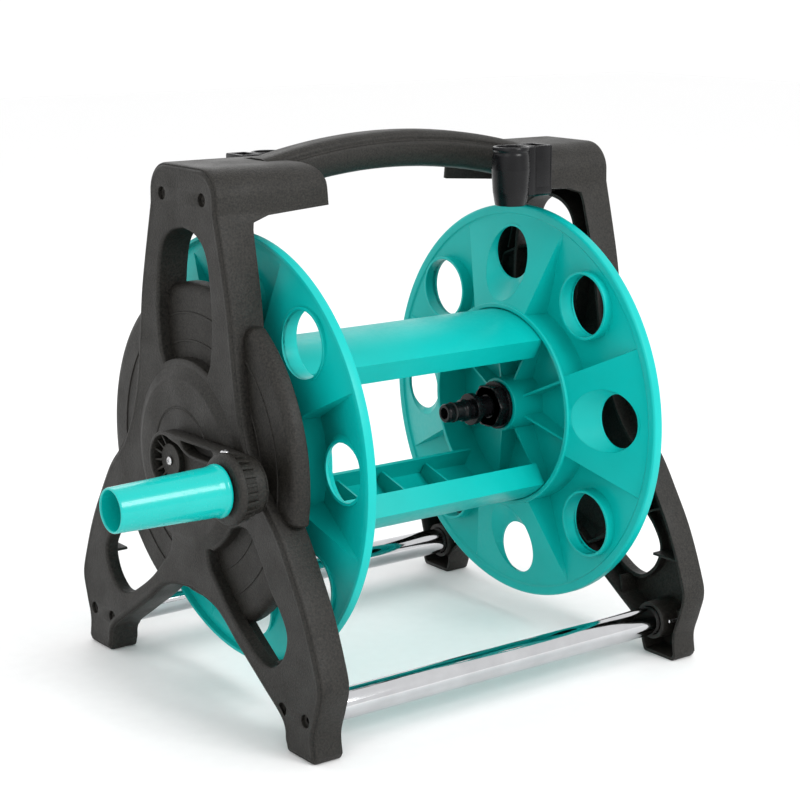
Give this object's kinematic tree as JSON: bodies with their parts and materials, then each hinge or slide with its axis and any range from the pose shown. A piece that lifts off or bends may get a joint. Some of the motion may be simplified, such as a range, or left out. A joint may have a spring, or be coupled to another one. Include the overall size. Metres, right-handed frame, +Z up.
{
  "type": "garden hose reel",
  "caption": "Freestanding garden hose reel: two end frames on chrome tie tubes, arched carry handle, and a hand-cranked drum with a water path through its axle.",
  "frame": {"origin": "on the ground, under the middle of the overall length and depth", "axes": "+X along the drum's axis away from the crank, +Y to the back, +Z up"},
  "size_m": [0.529, 0.3364, 0.4086],
  "materials": {
    "black_grained": "fine grained dark grey moulding",
    "black_gloss": "smooth glossy black moulding",
    "teal": "satin teal moulding",
    "teal_grip": "polished teal moulding",
    "chrome": "mirror chrome plate",
    "steel": "zinc plated steel",
    "seal_rubber": "black nitrile rubber",
    "nylon": "natural nylon"
  },
  "bodies": {
    "frame": {"end_frame_left": "black_grained", "end_frame_right": "black_grained", "tie_tube_front": "chrome", "tie_tube_rear": "chrome", "carry_handle": "black_grained", "tool_holder_front": "black_gloss", "tool_holder_rear": "black_gloss", "bearing_bush_left": "nylon", "bearing_bush_right": "nylon", "inlet_connector": "black_gloss", "foot_screw_left_1": "steel", "foot_screw_left_2": "steel", "foot_screw_left_3": "steel", "foot_screw_left_4": "steel", "foot_screw_right_1": "steel", "foot_screw_right_2": "steel", "foot_screw_right_3": "steel", "foot_screw_right_4": "steel", "handle_screw_left_1": "steel", "handle_screw_left_2": "steel", "handle_screw_right_1": "steel", "handle_screw_right_2": "steel", "inlet_screw_1": "steel", "inlet_screw_2": "steel"},
    "drum": {"flange_left": "teal", "flange_right": "teal", "stave_top": "teal", "stave_bottom": "teal", "water_axle": "black_gloss", "crank_axle": "black_gloss", "outlet_nipple": "black_gloss", "outlet_nut": "black_gloss", "outlet_o_ring": "seal_rubber", "axle_o_ring_inner": "seal_rubber", "axle_o_ring_outer": "seal_rubber", "crank_arm": "black_grained", "crank_screw": "steel", "spindle_clamp_screw": "steel", "grip_spindle": "steel", "grip_washer": "steel", "grip_screw": "steel"},
    "grip": {"crank_grip": "teal_grip"}
  },
  "joints": [
    {"name": "drum_spin", "type": "hinge", "parent": "frame", "child": "drum", "pos_m": [0.0325, 0, 0.183], "axis": [1, 0, 0], "continuous": true},
    {"name": "grip_spin", "type": "hinge", "parent": "drum", "child": "grip", "pos_m": [-0.223, -0.09797, 0.18557], "axis": [1, 0, 0], "continuous": true}
  ]
}
